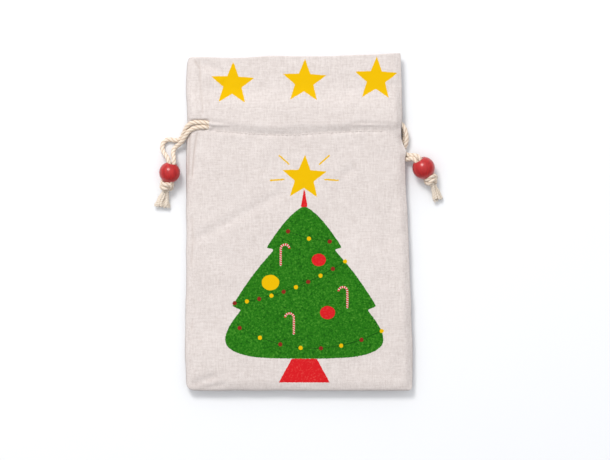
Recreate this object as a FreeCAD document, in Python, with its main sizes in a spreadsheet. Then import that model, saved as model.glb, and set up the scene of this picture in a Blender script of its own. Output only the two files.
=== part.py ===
import FreeCAD, Part
import Sketcher
import math
import os

# Drawstring gift sack, lying flat. Millimetres. X across the sack, +Y towards the mouth, +Z up.
# The sack rests on Z = 0 and its panels meet at the seam level, halfway up its thickness.

doc = FreeCAD.newDocument("gift_sack")

# ---------------------------------------------------------------- driving dimensions
DIMENSIONS = {
    "sack_length": 229.0,
    "left_edge": -77.25,        # the left side is straight
    "right_edge_mouth": 70.25,  # the right side flares out towards the bottom
    "flare": 7.0,
    "cloth": 0.45,
    "edge_wall": 0.9,           # width of cloth where a panel folds into its seam
    "slope": 9.0,               # how far in from an edge a panel reaches its full level
    "seam_level": 4.8,
    "rest_trim": 0.05,
    "body_level": 9.6,
    "casing_level": 12.8,       # the casing stands proud because the cords fill it
    "casing_low": 61.4,
    "casing_high": 79.0,
    "casing_flank": 3.4,
    "hem_left": -58.2,          # the folded hems stop short of the sides: the cord gaps
    "hem_right": 52.7,
    "hem_low": 60.6,
    "front_hem_level": 8.6,
    "back_hem_header_level": 0.55,
    "back_hem_casing_level": 3.75,
    "left_gap_edge": -61.5,
    "left_gap_low": 60.8,
    "left_gap_high": 71.2,
    "right_gap_edge": 60.5,
    "right_gap_low": 62.0,
    "right_gap_high": 75.6,
    "gap_margin": 4.0,
    "seam_inset": 2.6,
    "seam_width": 6.0,
    "seam_thick": 0.9,          # two layers of cloth
    "seam_top": 58.0,           # the side seams stop under the casing
    "header_seam_low": 80.0,
    "header_seam_high": 113.5,
    "stitch_width": 0.5,
    "stitch_proud": 0.12,
    "stitch_offset": 0.5,
    "cord_diameter": 3.0,
    "front_cord_level": 10.7,
    "back_cord_level": 2.1,
    "left_cord_lane": 67.8,
    "right_cord_lane": 72.9,
    "left_loop_centre": 59.0,   # far bend of the left cord, by the right gap
    "right_loop_centre": -64.5,
    "left_loop_front_end": -58.0,
    "left_loop_back_end": -58.6,
    "right_loop_end": 58.0,
    "left_bead_radius": 7.25,
    "right_bead_radius": 7.75,
    "bead_half_length": 6.0,
    "bead_bore_radius": 3.5,
    "bead_tilt": 10.0,          # degrees that a bead's hole leans down towards its knot
    "knot_distance": 8.4,
    "knot_half_length": 3.6,
    "knot_radius": 4.4,
    "tassel_neck": 4.0,
    "tassel_width": 9.6,
    "tassel_thick": 4.0,
}

sheet = doc.addObject("Spreadsheet::Sheet", "dims")
for row, (alias, value) in enumerate(DIMENSIONS.items(), start=1):
    sheet.set("A%d" % row, alias)
    sheet.set("B%d" % row, str(value))
    sheet.setAlias("B%d" % row, alias)
doc.recompute()

MOUTH = "dims.sack_length / 2"
BOTTOM = "-dims.sack_length / 2"


def dim(alias):
    return float(sheet.get(alias))


def right_edge(station):
    """Expression for the right edge's X at a station along Y."""
    return ("(dims.right_edge_mouth + dims.flare * (dims.sack_length / 2 - (%s))"
            " / dims.sack_length)" % station)


# ---------------------------------------------------------------- helpers
def bind_point(sketch, geometry, position, name, across, along):
    """Pin one sketch point to a pair of expressions."""
    for kind, text in (("DistanceX", across), ("DistanceY", along)):
        index = sketch.addConstraint(Sketcher.Constraint(kind, -1, 1, geometry, position, 1.0))
        label = "%s_%s" % (name, kind[-1])
        sketch.renameConstraint(index, label)
        sketch.setExpression("Constraints." + label, text)


def polygon(sketch, corners):
    """Closed outline through corners, each a pair of expressions, in order."""
    count = len(corners)
    start = [FreeCAD.Vector(math.cos(6.28 * k / count), math.sin(6.28 * k / count), 0)
             for k in range(count)]
    for k in range(count):
        sketch.addGeometry(Part.LineSegment(start[k], start[(k + 1) % count]), False)
    for k in range(count):
        sketch.addConstraint(Sketcher.Constraint("Coincident", k, 2, (k + 1) % count, 1))
    for k, (across, along) in enumerate(corners):
        bind_point(sketch, k, 1, "p%d" % k, across, along)


def origin_plane(body, role):
    return next(f for f in body.Origin.OriginFeatures if f.Role == role)


def padded_body(label, role, corners, low, depth):
    """Body with one outline, drawn on an origin plane raised to low and padded by depth."""
    body = doc.addObject("PartDesign::Body", label)
    body.Label = label
    sketch = body.newObject("Sketcher::SketchObject", label + "_outline")
    sketch.AttachmentSupport = (origin_plane(body, role), [""])
    sketch.MapMode = "FlatFace"
    polygon(sketch, corners)
    sketch.setExpression("AttachmentOffset.Base.z", low)
    pad = body.newObject("PartDesign::Pad", label + "_pad")
    pad.Profile = sketch
    pad.setExpression("Length", depth)
    return body


def bound_box(name, low, size):
    """Part::Box whose corner and size are expressions."""
    box = doc.addObject("Part::Box", name)
    for axis, text in zip("xyz", low):
        box.setExpression("Placement.Base." + axis, text)
    for key, text in zip(("Length", "Width", "Height"), size):
        box.setExpression(key, text)
    return box


def cut(label, base, tools):
    """Cut every tool out of base; the last cut carries the label."""
    for number, tool in enumerate(tools):
        result = doc.addObject("Part::Cut", "%s_cut_%d" % (label, number))
        result.Base = base
        result.Tool = tool
        base = result
    base.Label = label
    return base


def aim(heading, tilt=0.0):
    """Unit vector: heading is a direction in plan, tilt the degrees that it dips."""
    flat = FreeCAD.Vector(heading[0], heading[1], 0).normalize()
    dip = math.radians(tilt)
    return flat * math.cos(dip) - FreeCAD.Vector(0, 0, math.sin(dip))


# ---------------------------------------------------------------- cloth panels
def section(name, station, outer, inner):
    """One cross-section of a panel, in the XZ plane at a station along Y."""
    sketch = doc.addObject("Sketcher::SketchObject", name)
    sketch.Placement = FreeCAD.Placement(FreeCAD.Vector(), FreeCAD.Rotation(FreeCAD.Vector(1, 0, 0), 90))
    left, right, seam = "dims.left_edge", right_edge(station), "dims.seam_level"
    polygon(sketch, [
        (left, seam),
        (left + " + dims.slope", outer),
        (right + " - dims.slope", outer),
        (right, seam),
        (right + " - dims.edge_wall", seam),
        (right + " - dims.slope", inner),
        (left + " + dims.slope", inner),
        (left + " + dims.edge_wall", seam),
    ])
    sketch.setExpression("Placement.Base.y", station)
    return sketch


def panel(label, stations):
    """Ruled loft through a panel's cross-sections, from the bottom seam to the mouth."""
    loft = doc.addObject("Part::Loft", label + "_loft")
    loft.Sections = [section("%s_section_%d" % (label, k), *s) for k, s in enumerate(stations)]
    loft.Solid = True
    loft.Ruled = True
    return loft


def cloth_gap(name, low_x, low_y, high_y):
    """Box that cuts the cord gap out of a panel's edge, from low_x for 22 mm to the right."""
    return bound_box(name, (low_x, low_y, "-dims.gap_margin"),
                     ("22", high_y + " - " + low_y, "dims.casing_level + 2 * dims.gap_margin"))


def front_panel():
    body, casing = "dims.body_level", "dims.casing_level"
    flat = ["dims.seam_level + dims.cloth", "dims.seam_level"]
    low = [body, body + " - dims.cloth"]
    high = [casing, casing + " - dims.cloth"]
    loft = panel("front_panel", [
        [BOTTOM] + flat,
        [BOTTOM + " + dims.slope"] + low,
        ["dims.casing_low"] + low,
        ["dims.casing_low + dims.casing_flank"] + high,
        ["dims.casing_high - dims.casing_flank"] + high,
        ["dims.casing_high"] + low,
        [MOUTH] + low,
    ])
    gaps = [cloth_gap("front_gap_left", "dims.left_gap_edge - 22", "dims.left_gap_low", "dims.left_gap_high"),
            cloth_gap("front_gap_right", "dims.right_gap_edge", "dims.right_gap_low", "dims.right_gap_high")]
    return cut("front_panel", loft, gaps)


def back_panel():
    """Lofted a little too deep, then trimmed so that it rests on one flat face."""
    loft = panel("back_panel", [
        [BOTTOM, "dims.seam_level - dims.cloth", "dims.seam_level"],
        [BOTTOM + " + dims.slope", "-dims.rest_trim", "dims.cloth"],
        [MOUTH, "-dims.rest_trim", "dims.cloth"],
    ])
    gap = cloth_gap("back_gap_right", "dims.right_gap_edge", "dims.right_gap_low", "dims.right_gap_high")
    table = bound_box("back_rest_trim", ("2 * dims.left_edge", "-dims.sack_length", "-dims.gap_margin"),
                      ("-4 * dims.left_edge", "2 * dims.sack_length", "dims.gap_margin"))
    return cut("back_panel", loft, [gap, table])


# ---------------------------------------------------------------- hems, seams and stitching
def rectangle(left, right, low, high):
    return [(left, low), (right, low), (right, high), (left, high)]


def front_casing_hem():
    return padded_body("front_casing_hem", "XY_Plane",
                       rectangle("dims.hem_left", "dims.hem_right", "dims.hem_low", MOUTH),
                       "dims.front_hem_level", "dims.cloth")


def back_casing_hem():
    """The hem rises over the back cords and lies flat on the panel everywhere else."""
    low, high = "dims.back_hem_header_level", "dims.back_hem_casing_level"
    lower_face = [("dims.hem_low", low), ("dims.casing_low", low),
                  ("dims.casing_low + dims.casing_flank", high),
                  ("dims.casing_high - dims.casing_flank", high),
                  ("dims.casing_high", low), (MOUTH, low)]
    upper_face = [(y, z + " + dims.cloth") for y, z in reversed(lower_face)]
    return padded_body("back_casing_hem", "YZ_Plane", lower_face + upper_face,
                       "dims.hem_left", "dims.hem_right - dims.hem_left")


def seam(label, corners):
    """Flat allowance of two layers, centred on the seam level."""
    return padded_body(label, "XY_Plane", corners, "dims.seam_level - dims.seam_thick / 2",
                       "dims.seam_thick")


def left_seam(label, low, high):
    near = "dims.left_edge + dims.seam_inset"
    return seam(label, rectangle(near, near + " + dims.seam_width", low, high))


def right_seam(label, low, high):
    """Follows the flared side."""
    far = " - dims.seam_inset - dims.seam_width"
    return seam(label, [(right_edge(low) + far, low), (right_edge(low) + " - dims.seam_inset", low),
                        (right_edge(high) + " - dims.seam_inset", high), (right_edge(high) + far, high)])


def bottom_seam():
    low = BOTTOM + " + dims.seam_inset"
    return seam("bottom_seam", rectangle("dims.left_edge + dims.slope + dims.edge_wall",
                                         right_edge(low) + " - dims.slope - dims.edge_wall",
                                         low, low + " + dims.seam_width"))


def stitching(label, low_y, level):
    """A row of thread across the sack, standing a little proud of the cloth."""
    row = bound_box(label, ("dims.hem_left", low_y, level),
                    ("dims.hem_right - dims.hem_left", "dims.stitch_width", "dims.stitch_proud"))
    row.Label = label
    return row


# ---------------------------------------------------------------- cords
# Points of each free cord end, chosen by hand: from the casing, out of its gap, through the
# bead and into the knot. The runs between them are straight and the corners are rounded.
TAIL_ROUTES = {
    "left_cord_upper_tail": [
        (-58.00, 67.80, 10.70), (-62.50, 69.10, 10.50), (-68.00, 69.30, 9.80), (-73.60, 68.00, 9.30),
        (-77.90, 65.20, 8.90), (-81.00, 61.60, 7.20), (-84.60, 58.60, 5.00), (-89.30, 57.70, 3.20),
        (-92.90, 55.80, 2.40), (-94.20, 52.20, 2.60), (-92.70, 48.70, 4.60), (-87.63, 45.70, 9.00),
        (-88.81, 40.12, 8.20), (-90.31, 33.80, 7.06), (-91.64, 27.44, 5.91)],
    "left_cord_lower_tail": [
        (-58.60, 67.80, 2.10), (-62.30, 67.30, 3.40), (-65.80, 66.40, 6.80), (-70.20, 65.00, 8.40),
        (-75.20, 62.60, 8.00), (-78.60, 59.00, 6.40), (-81.00, 55.20, 4.40), (-84.30, 53.00, 4.00),
        (-85.90, 49.60, 6.00), (-84.61, 45.02, 9.00), (-85.93, 39.47, 8.20), (-87.29, 33.12, 7.06),
        (-88.82, 26.80, 5.91)],
    "right_cord_upper_tail": [
        (58.00, 72.90, 10.70), (62.50, 72.50, 9.00), (66.60, 71.20, 6.20), (70.80, 68.60, 4.90),
        (73.90, 64.40, 4.80), (74.90, 59.00, 4.80), (74.40, 54.40, 4.00), (72.70, 50.60, 1.90),
        (74.60, 46.80, 3.30), (77.40, 47.10, 6.20), (81.23, 47.17, 9.40), (83.85, 43.00, 8.70),
        (87.45, 37.58, 7.56), (90.91, 32.08, 6.41)],
    "right_cord_lower_tail": [
        (58.00, 72.90, 2.10), (63.00, 72.30, 1.90), (67.60, 69.80, 1.75), (71.60, 65.60, 1.70),
        (73.60, 60.60, 1.70), (72.60, 55.80, 1.70), (70.30, 52.40, 1.70), (70.00, 48.30, 1.70),
        (71.60, 44.80, 1.90), (74.70, 44.60, 4.80), (78.63, 45.48, 8.70), (81.37, 41.38, 8.70),
        (84.85, 35.90, 7.56), (88.47, 30.50, 6.41)],
}


def rounded_path(points):
    """Straight runs joined by tangent arcs, and the list of the arcs' radii."""
    points = [FreeCAD.Vector(*p) for p in points]
    edges, radii = [], []
    here = points[0]
    for before, corner, after in zip(points, points[1:], points[2:]):
        inward = (corner - before).normalize()
        outward = (after - corner).normalize()
        half_turn = inward.getAngle(outward) / 2
        setback = 0.45 * min(before.distanceToPoint(corner), corner.distanceToPoint(after))
        radius = setback / math.tan(half_turn)
        radii.append(radius)
        arc_start = corner - inward * setback
        arc_end = corner + outward * setback
        bisector = (outward - inward).normalize()
        arc_middle = corner + bisector * (radius / math.cos(half_turn) - radius)
        edges.append(Part.LineSegment(here, arc_start).toShape())
        edges.append(Part.Arc(arc_start, arc_middle, arc_end).toShape())
        here = arc_end
    edges.append(Part.LineSegment(here, points[-1]).toShape())
    return edges, radii


def tube(label, edges):
    """Round cord along a path of edges, checked against section times length."""
    radius = dim("cord_diameter") / 2
    path = Part.Wire(edges)
    start = edges[0].valueAt(edges[0].FirstParameter)
    tangent = edges[0].tangentAt(edges[0].FirstParameter)
    ring = Part.Wire(Part.makeCircle(radius, start, tangent))
    solid = path.makePipeShell([ring], True, False)
    expected = math.pi * radius ** 2 * path.Length
    if abs(solid.Volume / expected - 1) > 0.01:
        raise RuntimeError("%s: volume %.1f, expected %.1f" % (label, solid.Volume, expected))
    feature = doc.addObject("Part::Feature", label)
    feature.Label = label
    feature.Shape = solid
    feature.Placement = FreeCAD.Placement()
    return feature, path.Length


def cord_tail(label):
    edges, radii = rounded_path(TAIL_ROUTES[label])
    feature, length = tube(label, edges)
    print("%s: length %.1f mm, radii %s" % (label, length, " ".join("%.1f" % r for r in radii)))
    return feature


def cord_loop(label, lane, front_end, back_end, centre):
    """Cord inside the casing: along the front, round the hem ends at the far gap, along the back."""
    y = dim(lane)
    top, low = dim("front_cord_level"), dim("back_cord_level")
    bend = dim(centre)
    reach = math.copysign((top - low) / 2, bend)
    front = FreeCAD.Vector(bend, y, top)
    tip = FreeCAD.Vector(bend + reach, y, (top + low) / 2)
    back = FreeCAD.Vector(bend, y, low)
    edges = [Part.LineSegment(FreeCAD.Vector(dim(front_end), y, top), front).toShape(),
             Part.Arc(front, tip, back).toShape(),
             Part.LineSegment(back, FreeCAD.Vector(dim(back_end), y, low)).toShape()]
    feature, length = tube(label, edges)
    print("%s: length %.1f mm, radius %.1f" % (label, length, (top - low) / 2))
    return feature


# ---------------------------------------------------------------- beads, knots and tassels
BEADS = {
    "left": {"centre": (-88.5, 34.8, 7.3), "heading": (-0.22, -0.975),
             "tassel_start": (-91.0, 23.8, 5.1), "tassel_end": (-94.4, 10.6, 2.4)},
    "right": {"centre": (85.4, 37.9, 7.8), "heading": (0.545, -0.839),
              "tassel_start": (91.4, 28.3, 5.4), "tassel_end": (95.7, 15.6, 2.4)},
}


def along_axis(side):
    """Rotation that turns local Z down the bead's hole, towards its knot."""
    direction = aim(BEADS[side]["heading"], dim("bead_tilt"))
    return FreeCAD.Rotation(FreeCAD.Vector(0, 0, 1), direction), direction


def bead(side):
    """Ball with a flat at each end of its hole."""
    label = side + "_bead"
    ball = doc.addObject("Part::Sphere", label + "_ball")
    radius = "dims.%s_bead_radius" % side
    ball.setExpression("Radius", radius)
    ball.setExpression("Angle1", "-asin(dims.bead_half_length / %s)" % radius)
    ball.setExpression("Angle2", "asin(dims.bead_half_length / %s)" % radius)
    bore = doc.addObject("Part::Cylinder", label + "_bore")
    bore.setExpression("Radius", "dims.bead_bore_radius")
    bore.setExpression("Height", "4 * dims.bead_half_length")
    bore.setExpression("Placement.Base.z", "-2 * dims.bead_half_length")
    result = cut(label, ball, [bore])
    rotation, _ = along_axis(side)
    result.Placement = FreeCAD.Placement(FreeCAD.Vector(*BEADS[side]["centre"]), rotation)
    return result


def knot(side):
    """Overhand knot in both cord ends, as the lump that it makes."""
    lump = doc.addObject("Part::Ellipsoid", side + "_knot")
    lump.Label = side + "_knot"
    lump.setExpression("Radius1", "dims.knot_half_length")
    lump.setExpression("Radius2", "dims.knot_radius")
    lump.setExpression("Radius3", "dims.knot_radius")
    rotation, direction = along_axis(side)
    centre = FreeCAD.Vector(*BEADS[side]["centre"]) + direction * dim("knot_distance")
    lump.Placement = FreeCAD.Placement(centre, rotation)
    return lump


def tassel(side):
    """Frayed cord ends, fanning out from the knot to the surface that they lie on."""
    fan = doc.addObject("Part::Wedge", side + "_tassel")
    fan.Label = side + "_tassel"
    start = FreeCAD.Vector(*BEADS[side]["tassel_start"])
    end = FreeCAD.Vector(*BEADS[side]["tassel_end"])
    for name, text in (("Xmin", "-dims.tassel_neck / 2"), ("Xmax", "dims.tassel_neck / 2"),
                       ("X2min", "-dims.tassel_width / 2"), ("X2max", "dims.tassel_width / 2"),
                       ("Zmin", "-dims.tassel_thick / 2"), ("Zmax", "dims.tassel_thick / 2"),
                       ("Z2min", "-dims.tassel_thick / 2"), ("Z2max", "dims.tassel_thick / 2")):
        fan.setExpression(name, text)
    fan.Ymin = 0
    fan.Ymax = start.distanceToPoint(end)
    forward = (end - start).normalize()
    sideways = forward.cross(FreeCAD.Vector(0, 0, 1)).normalize()
    fan.Placement = FreeCAD.Placement(start, FreeCAD.Rotation(sideways, forward, sideways.cross(forward)))
    return fan


# ---------------------------------------------------------------- the parts
BACK_STITCH_LEVEL = "dims.back_hem_header_level + dims.cloth"
LOWER_ROW = "dims.casing_low - dims.stitch_offset - dims.stitch_width"
UPPER_ROW = "dims.casing_high + dims.stitch_offset"
SEAM_LOW = BOTTOM + " + dims.slope"

parts = [
    front_panel(),
    back_panel(),
    front_casing_hem(),
    back_casing_hem(),
    left_seam("left_side_seam", SEAM_LOW, "dims.seam_top"),
    right_seam("right_side_seam", SEAM_LOW, "dims.seam_top"),
    left_seam("left_header_seam", "dims.header_seam_low", "dims.header_seam_high"),
    right_seam("right_header_seam", "dims.header_seam_low", "dims.header_seam_high"),
    bottom_seam(),
    stitching("front_lower_stitching", LOWER_ROW, "dims.body_level"),
    stitching("front_upper_stitching", UPPER_ROW, "dims.body_level"),
    stitching("back_lower_stitching", "dims.hem_low", BACK_STITCH_LEVEL),
    stitching("back_upper_stitching", UPPER_ROW, BACK_STITCH_LEVEL),
    cord_loop("left_cord_loop", "left_cord_lane", "left_loop_front_end", "left_loop_back_end",
              "left_loop_centre"),
    cord_loop("right_cord_loop", "right_cord_lane", "right_loop_end", "right_loop_end",
              "right_loop_centre"),
]
parts += [cord_tail(label) for label in TAIL_ROUTES]
for side_name in BEADS:
    parts += [bead(side_name), knot(side_name), tassel(side_name)]

doc.recompute()

# ---------------------------------------------------------------- checks and export
for item in doc.Objects:
    if "Invalid" in item.State or "Error" in item.State:
        raise RuntimeError("%s: %s" % (item.Name, item.State))

os.makedirs("parts", exist_ok=True)
for item in parts:
    shape = item.Shape
    if shape.isNull() or not shape.isValid() or shape.Volume <= 0:
        raise RuntimeError(item.Label + ": bad shape")
    shape.exportStep("parts/%s.step" % item.Label)
    size = shape.BoundBox
    print("%-24s %8.1f mm3  x %.1f..%.1f  y %.1f..%.1f  z %.2f..%.2f" % (
        item.Label, shape.Volume, size.XMin, size.XMax, size.YMin, size.YMax, size.ZMin, size.ZMax))
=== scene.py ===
import math

import bpy
import numpy as np
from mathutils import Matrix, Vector


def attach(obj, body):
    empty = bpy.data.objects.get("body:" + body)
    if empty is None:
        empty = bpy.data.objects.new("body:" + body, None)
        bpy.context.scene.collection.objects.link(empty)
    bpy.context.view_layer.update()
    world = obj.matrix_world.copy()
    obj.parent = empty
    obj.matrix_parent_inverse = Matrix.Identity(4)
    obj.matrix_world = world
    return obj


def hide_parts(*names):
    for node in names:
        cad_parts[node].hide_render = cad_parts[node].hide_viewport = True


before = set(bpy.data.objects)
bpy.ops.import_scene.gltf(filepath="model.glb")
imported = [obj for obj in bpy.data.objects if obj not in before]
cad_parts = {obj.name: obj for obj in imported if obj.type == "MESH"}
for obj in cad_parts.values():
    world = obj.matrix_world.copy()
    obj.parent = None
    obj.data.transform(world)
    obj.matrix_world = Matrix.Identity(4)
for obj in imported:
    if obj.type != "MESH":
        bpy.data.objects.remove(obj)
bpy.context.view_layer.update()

# Lengths below are millimetres in the CAD frame, and MM turns them into metres.
MM = 0.001
SCENE = bpy.context.scene


# ---- camera

VIEW_CENTRE = (4.1, -4.1)
VIEW_WIDTH = 416.6
CAMERA_HEIGHT = 1800.0
CLOTH_HEIGHT = 9.0

camera_data = bpy.data.cameras.new("overhead")
camera_data.sensor_width = 36.0
camera_data.lens = camera_data.sensor_width * (CAMERA_HEIGHT - CLOTH_HEIGHT) / VIEW_WIDTH
camera_data.clip_end = 20.0
camera = bpy.data.objects.new("overhead", camera_data)
camera.location = (VIEW_CENTRE[0] * MM, VIEW_CENTRE[1] * MM, CAMERA_HEIGHT * MM)
SCENE.collection.objects.link(camera)
SCENE.camera = camera
SCENE.view_settings.view_transform = "Standard"


# ---- helpers

def ease(value):
    """Smooth step from 0 to 1."""
    value = np.clip(value, 0.0, 1.0)
    return value * value * (3.0 - 2.0 * value)


def curve_through(points, at):
    """Smooth line through (place, value) points with rising places."""
    places, values = np.array(points, float).T
    slopes = np.gradient(values, places)
    index = np.clip(np.searchsorted(places, at) - 1, 0, len(places) - 2)
    width = places[index + 1] - places[index]
    t = np.clip((at - places[index]) / width, 0.0, 1.0)
    start = (2 * t**3 - 3 * t**2 + 1) * values[index] + (t**3 - 2 * t**2 + t) * width * slopes[index]
    end = (3 * t**2 - 2 * t**3) * values[index + 1] + (t**3 - t**2) * width * slopes[index + 1]
    return start + end


def soft_noise(x, y, cell, seed):
    """Smooth random field from -1 to 1."""
    size = 64
    lattice = np.random.default_rng(seed).uniform(-1.0, 1.0, (size, size))
    column = np.floor(x / cell)
    row = np.floor(y / cell)
    across = ease(x / cell - column)
    along = ease(y / cell - row)
    column = column.astype(int)
    row = row.astype(int)
    low = lattice[row % size, column % size] * (1 - across)
    low = low + lattice[row % size, (column + 1) % size] * across
    high = lattice[(row + 1) % size, column % size] * (1 - across)
    high = high + lattice[(row + 1) % size, (column + 1) % size] * across
    return low * (1 - along) + high * along


def add_object(name, mesh, *materials):
    """Object in the scene from a mesh and its materials."""
    piece = bpy.data.objects.new(name, mesh)
    SCENE.collection.objects.link(piece)
    for material in materials:
        mesh.materials.append(material)
    return piece


def stand_in(piece, body, node):
    """Puts a piece on its body in a CAD node's place, and hides that node."""
    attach(piece, body)
    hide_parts(node)
    return piece


def build_mesh(name, points, faces, values=None):
    """Smooth mesh in metres from points in millimetres, with point values by name."""
    mesh = bpy.data.meshes.new(name)
    mesh.from_pydata((np.asarray(points) * MM).tolist(), [], faces, shade_flat=False)
    for key, numbers in (values or {}).items():
        attribute = mesh.attributes.new(key, "FLOAT", "POINT")
        attribute.data.foreach_set("value", np.asarray(numbers, np.float32))
    mesh.validate()
    mesh.update()
    return mesh


def grid_faces(rows, columns, wrap=False):
    """Quads of a grid of points, numbered row by row."""
    index = np.arange(rows * columns).reshape(rows, columns)
    if wrap:
        index = np.concatenate([index, index[:, :1]], axis=1)
    corners = [index[:-1, :-1], index[:-1, 1:], index[1:, 1:], index[1:, :-1]]
    return np.stack(corners, axis=-1)


def smooth_line(name, route):
    """Points along the NURBS line of a route, in millimetres."""
    curve = bpy.data.curves.new(name, "CURVE")
    curve.dimensions = "3D"
    curve.resolution_u = 16
    spline = curve.splines.new("NURBS")
    spline.points.add(len(route) - 1)
    for point, place in zip(spline.points, route):
        point.co = (*place, 1.0)
    spline.order_u = 3
    spline.use_endpoint_u = True
    holder = bpy.data.objects.new(name, curve)
    SCENE.collection.objects.link(holder)
    bpy.context.view_layer.update()
    mesh = bpy.data.meshes.new_from_object(holder.evaluated_get(bpy.context.evaluated_depsgraph_get()))
    line = np.array([tuple(vertex.co) for vertex in mesh.vertices]) / MM
    bpy.data.objects.remove(holder)
    bpy.data.curves.remove(curve)
    bpy.data.meshes.remove(mesh)
    return line


def even_line(line, step):
    """The same line with points an even step apart."""
    reach = np.concatenate([[0.0], np.cumsum(np.linalg.norm(np.diff(line, axis=0), axis=1))])
    places = np.linspace(0.0, reach[-1], max(4, int(reach[-1] / step) + 1))
    return np.stack([np.interp(places, reach, line[:, axis]) for axis in range(3)], axis=1), places


def tube(line, radius, sides=20, step=0.35, lobes=0, lay=10.0, depth=0.24, turn=0.0, ends=1.0):
    """Tube round a line. A rope has lobes, one for each strand, that turn once in each lay."""
    centre, along = even_line(line, step)
    forward = np.gradient(centre, axis=0)
    forward /= np.linalg.norm(forward, axis=1)[:, None]
    side = np.cross(forward[0], (0.0, 0.0, 1.0))
    if np.linalg.norm(side) < 0.1:
        side = np.cross(forward[0], (0.0, 1.0, 0.0))
    sides_along = []
    for direction in forward:
        side = side - direction * np.dot(side, direction)
        side = side / np.linalg.norm(side)
        sides_along.append(side)
    side = np.array(sides_along)[:, None, :]
    up = np.cross(forward[:, None, :], side)
    angle = np.linspace(0.0, 2 * math.pi, sides, endpoint=False)[None, :]
    strand = np.ones((len(centre), sides))
    if lobes:
        strand = np.abs(np.cos(0.5 * lobes * (angle - turn - 2 * math.pi * along[:, None] / lay)))
    size = radius * (1.0 - depth * (1.0 - strand))
    end_gap = np.minimum(along, along[-1] - along)[:, None] / radius
    size = size * (ends + (1.0 - ends) * np.sqrt(1 - (1 - np.clip(end_gap, 0.0, 1.0)) ** 2))
    ring = side * np.cos(angle)[..., None] + up * np.sin(angle)[..., None]
    points = (centre[:, None, :] + ring * size[..., None]).reshape(-1, 3)
    faces = grid_faces(len(centre), sides, wrap=True).reshape(-1, 4).tolist()
    last = (len(centre) - 1) * sides
    faces.append(list(range(sides)))
    faces.append(list(range(last + sides - 1, last - 1, -1)))
    values = {
        "strand": strand.ravel(),
        "along": np.repeat(along, sides),
        "around": np.broadcast_to(angle, strand.shape).ravel(),
    }
    return points, faces, values


def joined_tubes(name, tubes, *materials):
    """One object from several tubes."""
    points, faces, values, start = [], [], {}, 0
    for tube_points, tube_faces, tube_values in tubes:
        points.append(tube_points)
        faces.extend([[corner + start for corner in face] for face in tube_faces])
        for key, numbers in tube_values.items():
            values.setdefault(key, []).append(numbers)
        start += len(tube_points)
    values = {key: np.concatenate(parts) for key, parts in values.items()}
    return add_object(name, build_mesh(name, np.concatenate(points), faces, values), *materials)


# ---- materials

class Shader:
    """A material's node tree, with short ways to add nodes and join them."""

    def __init__(self, name):
        self.material = bpy.data.materials.new(name)
        self.material.use_nodes = True
        self.tree = self.material.node_tree
        self.surface = self.tree.nodes["Principled BSDF"]

    def add(self, kind, inputs=None, **settings):
        node = self.tree.nodes.new("ShaderNode" + kind)
        for key, value in settings.items():
            setattr(node, key, value)
        for key, value in (inputs or {}).items():
            self.feed(node.inputs[key], value)
        return node

    def feed(self, socket, value):
        if isinstance(value, bpy.types.NodeSocket):
            self.tree.links.new(value, socket)
        else:
            socket.default_value = value

    def math(self, operation, first, second=0.0):
        return self.add("Math", {0: first, 1: second}, operation=operation).outputs[0]

    def value(self, name):
        return self.add("Attribute", attribute_name=name).outputs["Fac"]

    def weighted(self, *parts):
        """Sum of fields, each with its weight."""
        total = 0.0
        for field, weight in parts:
            total = self.math("ADD", total, self.math("MULTIPLY", field, weight))
        return total

    def ramp(self, value, low, high, out_low=0.0, out_high=1.0):
        inputs = {"Value": value, "From Min": low, "From Max": high, "To Min": out_low, "To Max": out_high}
        return self.add("MapRange", inputs, interpolation_type="SMOOTHSTEP").outputs[0]

    def mix(self, factor, first, second):
        return self.add("Mix", {0: factor, 6: first, 7: second}, data_type="RGBA").outputs[2]

    def noise(self, size, detail=2.0, stretch=(1.0, 1.0, 1.0), roughness=0.5):
        """Noise with features of that size in millimetres, longer where stretch is larger."""
        place = self.add("TexCoord").outputs["Object"]
        scale = tuple(1.0 / (size * MM * part) for part in stretch)
        place = self.add("Mapping", {"Vector": place, "Scale": scale}).outputs[0]
        inputs = {"Vector": place, "Scale": 1.0, "Detail": detail, "Roughness": roughness}
        return self.add("TexNoise", inputs).outputs["Fac"]

    def threads(self, pitch, axis):
        """Even ridges across an axis."""
        place = self.add("TexCoord").outputs["Object"]
        place = self.add("SeparateXYZ", {0: place}).outputs[axis]
        return self.math("SINE", self.math("MULTIPLY", place, 2 * math.pi / (pitch * MM)))

    def bump(self, height, strength, distance):
        inputs = {"Height": height, "Strength": strength, "Distance": distance * MM}
        self.feed(self.surface.inputs["Normal"], self.add("Bump", inputs).outputs[0])

    def finish(self, colour=None, **sockets):
        if colour is not None:
            self.feed(self.surface.inputs["Base Color"], colour)
        for key, value in sockets.items():
            self.feed(self.surface.inputs[key.replace("_", " ").title().replace("Ior", "IOR")], value)
        return self.material


CLOTH_LIGHT = (0.715, 0.652, 0.628, 1.0)
CLOTH_DARK = (0.545, 0.480, 0.455, 1.0)
# Painted shade that the folds get in the printed cloth's colour.
CLOTH_FOLD_SHADE = (0.500, 0.425, 0.390, 1.0)
GREEN_INK = (0.016, 0.152, 0.005, 1.0)
GREEN_THIN = (0.078, 0.275, 0.026, 1.0)
DARK_GREEN = (0.006, 0.070, 0.003, 1.0)
RED_INK = (0.585, 0.010, 0.014, 1.0)
RED_THIN = (0.680, 0.070, 0.060, 1.0)
DARK_RED = (0.215, 0.018, 0.010, 1.0)
YELLOW_INK = (0.715, 0.425, 0.0, 1.0)
CANE_WHITE = (0.640, 0.560, 0.470, 1.0)
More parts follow.
